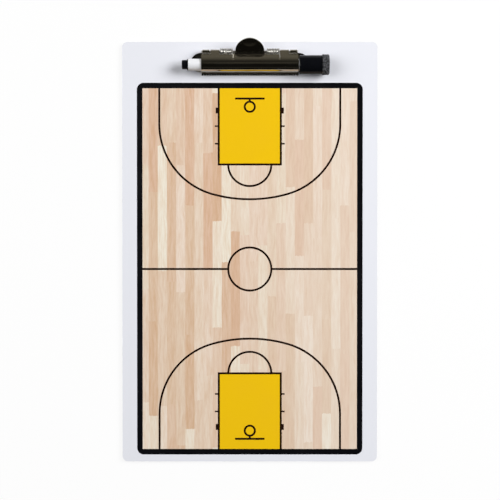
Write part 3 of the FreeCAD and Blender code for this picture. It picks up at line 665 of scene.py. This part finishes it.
build = bmesh.new()
rings = []
for x, radius in profile:
    ring = []
    for side in range(FELT_SIDES):
        angle = 2 * math.pi * side / FELT_SIDES
        reach = radius + lump(angle, x, radius)
        y = felt_axis.y + reach * math.cos(angle)
        z = felt_axis.z + reach * math.sin(angle)
        ring.append(build.verts.new((x, y, z)))
    rings.append(ring)
for near, far in zip(rings, rings[1:]):
    for side in range(FELT_SIDES):
        after = (side + 1) % FELT_SIDES
        build.faces.new((near[side], near[after], far[after], far[side]))
build.faces.new(list(reversed(rings[0])))
build.faces.new(rings[-1])
bmesh.ops.recalc_face_normals(build, faces=build.faces)
felt_mesh = bpy.data.meshes.new("felt_body")
build.to_mesh(felt_mesh)
build.free()
felt_mesh.polygons.foreach_set("use_smooth", [True] * len(felt_mesh.polygons))
felt_maker = bpy.data.objects.new("felt_body", felt_mesh)
bpy.context.scene.collection.objects.link(felt_maker)
print("felt body faces:", len(felt_mesh.polygons))

# %% A tree that scatters fibres
# Shares of a fibre's length: how far its middle bows out, how far it stands off, and its least and most length
FIBRE_BOW = 0.3
FIBRE_LIFT = 0.12
SIZE_LOW, SIZE_HIGH = 0.55, 1.25
FIBRE_STEPS = 3
FIBRE_SIDES = 3
# Radians: a slight tilt about X and Y, and any direction about the surface's normal
TILT_LOW, TILT_HIGH = (-0.22, -0.3, 0.0), (0.22, 0.3, 6.283)
TONE_LOW, TONE_HIGH = 0.0, 0.4
POINT_SEED, TILT_SEED, SIZE_SEED, TONE_SEED = 4, 11, 12, 13


def fibre_tree(material):
    """Geometry Nodes tree: the body with short bent fibres lying on its surface."""
    tree = bpy.data.node_groups.new("felt_fibres", "GeometryNodeTree")
    tree.interface.new_socket("Geometry", in_out="INPUT", socket_type="NodeSocketGeometry")
    for name in ("Fibres per square metre", "Fibre length", "Fibre diameter"):
        tree.interface.new_socket(name, in_out="INPUT", socket_type="NodeSocketFloat")
    tree.interface.new_socket("Geometry", in_out="OUTPUT", socket_type="NodeSocketGeometry")
    given = add(tree, "NodeGroupInput")
    length = given.outputs["Fibre length"]
    points = add(tree, "GeometryNodeDistributePointsOnFaces", {
        "Mesh": given.outputs["Geometry"], "Density": given.outputs["Fibres per square metre"],
        "Seed": POINT_SEED,
    })
    half = add(tree, "ShaderNodeMath", {0: length, 1: 0.5}, operation="MULTIPLY")
    back = add(tree, "ShaderNodeMath", {0: half.outputs[0], 1: -1.0}, operation="MULTIPLY")
    bow = add(tree, "ShaderNodeMath", {0: length, 1: FIBRE_BOW}, operation="MULTIPLY")
    lift = add(tree, "ShaderNodeMath", {0: length, 1: FIBRE_LIFT}, operation="MULTIPLY")
    start = add(tree, "ShaderNodeCombineXYZ", {"X": half.outputs[0]})
    middle = add(tree, "ShaderNodeCombineXYZ", {"Y": bow.outputs[0], "Z": lift.outputs[0]})
    end = add(tree, "ShaderNodeCombineXYZ", {"X": back.outputs[0]})
    bend = add(tree, "GeometryNodeCurveQuadraticBezier", {
        "Resolution": FIBRE_STEPS,
        "Start": start.outputs[0], "Middle": middle.outputs[0], "End": end.outputs[0],
    })
    radius = add(tree, "ShaderNodeMath", {0: given.outputs["Fibre diameter"], 1: 0.5}, operation="MULTIPLY")
    section = add(tree, "GeometryNodeCurvePrimitiveCircle", {
        "Resolution": FIBRE_SIDES, "Radius": radius.outputs[0],
    })
    fibre = add(tree, "GeometryNodeCurveToMesh", {
        "Curve": bend.outputs["Curve"], "Profile Curve": section.outputs["Curve"], "Fill Caps": True,
    })
    turn = add(tree, "FunctionNodeRandomValue", {
        "Min": TILT_LOW, "Max": TILT_HIGH, "Seed": TILT_SEED,
    }, data_type="FLOAT_VECTOR")
    turned = add(tree, "FunctionNodeEulerToRotation", {"Euler": turn.outputs["Value"]})
    lie = add(tree, "FunctionNodeRotateRotation", {
        "Rotation": points.outputs["Rotation"], "Rotate By": turned.outputs["Rotation"],
    }, rotation_space="LOCAL")
    size = add(tree, "FunctionNodeRandomValue", {
        2: SIZE_LOW, 3: SIZE_HIGH, "Seed": SIZE_SEED,
    }, data_type="FLOAT")
    hairs = add(tree, "GeometryNodeInstanceOnPoints", {
        "Points": points.outputs["Points"], "Instance": fibre.outputs["Mesh"],
        "Rotation": lie.outputs["Rotation"], "Scale": size.outputs[1],
    })
    shade = add(tree, "FunctionNodeRandomValue", {
        2: TONE_LOW, 3: TONE_HIGH, "Seed": TONE_SEED,
    }, data_type="FLOAT")
    toned = add(tree, "GeometryNodeStoreNamedAttribute", {
        "Geometry": hairs.outputs["Instances"], "Name": "fibre_tone", "Value": shade.outputs[1],
    }, data_type="FLOAT", domain="INSTANCE")
    both = add(tree, "GeometryNodeJoinGeometry")
    tree.links.new(toned.outputs["Geometry"], both.inputs["Geometry"])
    tree.links.new(given.outputs["Geometry"], both.inputs["Geometry"])
    whole = add(tree, "GeometryNodeRealizeInstances", {"Geometry": both.outputs["Geometry"]})
    coated = add(tree, "GeometryNodeSetMaterial", {
        "Geometry": whole.outputs["Geometry"], "Material": material,
    })
    add(tree, "NodeGroupOutput", {"Geometry": coated.outputs["Geometry"]})
    return tree


fibre_nodes = fibre_tree(felt)
print("tree:", fibre_nodes.name, "with", len(fibre_nodes.nodes), "nodes")

# %% Scatter the fibres
FIBRES_PER_SQUARE_METRE = 9.0e6
FIBRE_LENGTH = 1.7 * MM
# Wool is about a third as thick; thinner fibres than this would not show
FIBRE_DIAMETER = 0.07 * MM

felt_piece = plain_mesh(felt_maker, "eraser_felt_fibres", fibre_nodes, {
    "Fibres per square metre": FIBRES_PER_SQUARE_METRE,
    "Fibre length": FIBRE_LENGTH,
    "Fibre diameter": FIBRE_DIAMETER,
})
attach(felt_piece, "cap")
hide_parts("eraser_felt")
print("felt triangles:", triangles(felt_piece))

# %% [markdown]
# ## Studio
# The photograph looks straight down on the board from about 1.3 m through a long lens. Light comes softly
# from the upper right, and the room around is dark and warm, which is why the bright clip looks almost black.
# A plain dark world would leave the clip without form. So it has three glows that the clip mirrors: a thin
# strip that the jaw's crown shows as a line, a soft one in front of the board that shows the thumb dish, and
# a paler end behind the clip for the jaw's slope. Two large lamps stand off to the sides, where the clip
# doesn't mirror them, and a white floor catches the shadow.

# %% Camera
CAMERA_PLACE = Vector((0.2, 22.0, 1303.0)) * MM
CAMERA_AIM = Vector((0.2, 2.0, 3.0)) * MM
LENS = 99.4
SENSOR_WIDTH = 36
camera = bpy.data.objects.new("camera", bpy.data.cameras.new("camera"))
camera.location = CAMERA_PLACE
back, height = CAMERA_PLACE.y - CAMERA_AIM.y, CAMERA_PLACE.z - CAMERA_AIM.z
camera.rotation_euler = (-math.atan2(back, height), 0, 0)
camera.data.sensor_width = SENSOR_WIDTH
camera.data.lens = LENS
bpy.context.scene.collection.objects.link(camera)
bpy.context.scene.camera = camera
print("camera:", round((CAMERA_PLACE - CAMERA_AIM).length / MM), "mm from the board, lens", LENS)

# %% Lamps
def soft_lamp(name, place, size, watts):
    """A square soft box that points at the middle of the board. Place and size are in metres."""
    lamp = bpy.data.objects.new(name, bpy.data.lights.new(name, "AREA"))
    lamp.data.shape = "SQUARE"
    lamp.data.size = size
    lamp.data.energy = watts
    lamp.location = place
    lamp.rotation_euler = (-Vector(place)).to_track_quat("-Z", "Y").to_euler()
    bpy.context.scene.collection.objects.link(lamp)
    print("lamp:", name, watts, "W")


soft_lamp("key_lamp", place=(1.6, 0.65, 1.45), size=1.2, watts=55)
soft_lamp("fill_lamp", place=(-1.4, 0.45, 1.6), size=1.8, watts=29)

# %% World
# Levels of light from the front of the board, at 0, to the back, at 1
ROOM_LEVELS = (
    (0.0, 0.007), (0.06, 0.008), (0.11, 0.04), (0.16, 0.007),
    (0.5, 0.008), (0.63, 0.012), (0.655, 0.15), (0.68, 0.014),
    (0.76, 0.02), (0.83, 0.04), (0.9, 0.11), (0.945, 0.15), (1.0, 0.18),
)
# A warm room gives less green and much less blue than red
ROOM_GREEN, ROOM_BLUE = 0.92, 0.74

world = bpy.data.worlds.new("dark_studio")
bpy.context.scene.world = world
world.use_nodes = True
tree = world.node_tree
tree.nodes.clear()
way = add(tree, "ShaderNodeTexCoord")
axes = add(tree, "ShaderNodeSeparateXYZ", {"Vector": way.outputs["Generated"]})
rise = add(tree, "ShaderNodeMapRange", {"Value": axes.outputs["Y"], "From Min": -1.0, "From Max": 1.0})
glow = add(tree, "ShaderNodeValToRGB", {"Fac": rise.outputs["Result"]})
glow.color_ramp.elements.remove(glow.color_ramp.elements[1])
for index, (position, level) in enumerate(ROOM_LEVELS):
    stop = glow.color_ramp.elements[0] if index == 0 else glow.color_ramp.elements.new(position)
    stop.position = position
    stop.color = (level, level * ROOM_GREEN, level * ROOM_BLUE, 1.0)
sky = add(tree, "ShaderNodeBackground", {"Color": glow.outputs["Color"], "Strength": 1.0})
add(tree, "ShaderNodeOutputWorld", {"Surface": sky.outputs["Background"]})
print("world:", world.name, "with", len(glow.color_ramp.elements), "levels")

# %% Floor
FLOOR_REACH = 14.0
FLOOR_GAP = 0.3 * MM
FLOOR_ROUGHNESS = 0.9
# The rest of what the camera sees of the floor is lit paper, which keeps the shadow
WHITE_SHARE = 0.88
floor_z = cad_low.z - FLOOR_GAP
corners = [(-1, -1), (1, -1), (1, 1), (-1, 1)]
floor_mesh = bpy.data.meshes.new("floor")
floor_mesh.from_pydata([(x * FLOOR_REACH, y * FLOOR_REACH, floor_z) for x, y in corners], [], [(0, 1, 2, 3)])
floor = bpy.data.objects.new("floor", floor_mesh)
bpy.context.scene.collection.objects.link(floor)

# Matt white paper: no reflection, only the soft shadow of the board
paper, tree, shader = new_material("white_paper_floor")
shader.inputs["Base Color"].default_value = linear("#F4F4F4")
shader.inputs["Roughness"].default_value = FLOOR_ROUGHNESS
seen = add(tree, "ShaderNodeLightPath")
mirrored = add(tree, "ShaderNodeMath", {
    0: seen.outputs["Is Camera Ray"], 1: seen.outputs["Is Glossy Ray"],
}, operation="MAXIMUM")
through = add(tree, "ShaderNodeMath", {
    0: mirrored.outputs[0], 1: seen.outputs["Is Transmission Ray"],
}, operation="MAXIMUM")
white_share = add(tree, "ShaderNodeMath", {0: through.outputs[0], 1: WHITE_SHARE}, operation="MULTIPLY")
white = add(tree, "ShaderNodeEmission", {"Color": (1, 1, 1, 1), "Strength": 1.0})
both = add(tree, "ShaderNodeMixShader", {
    "Fac": white_share.outputs[0], 1: shader.outputs["BSDF"], 2: white.outputs["Emission"],
})
output = next(n for n in tree.nodes if n.type == "OUTPUT_MATERIAL")
tree.links.new(both.outputs["Shader"], output.inputs["Surface"])
floor_mesh.materials.append(paper)
print("floor at Z in mm:", round(floor_z / MM, 2))

# %% View settings
bpy.context.scene.view_settings.view_transform = "Standard"
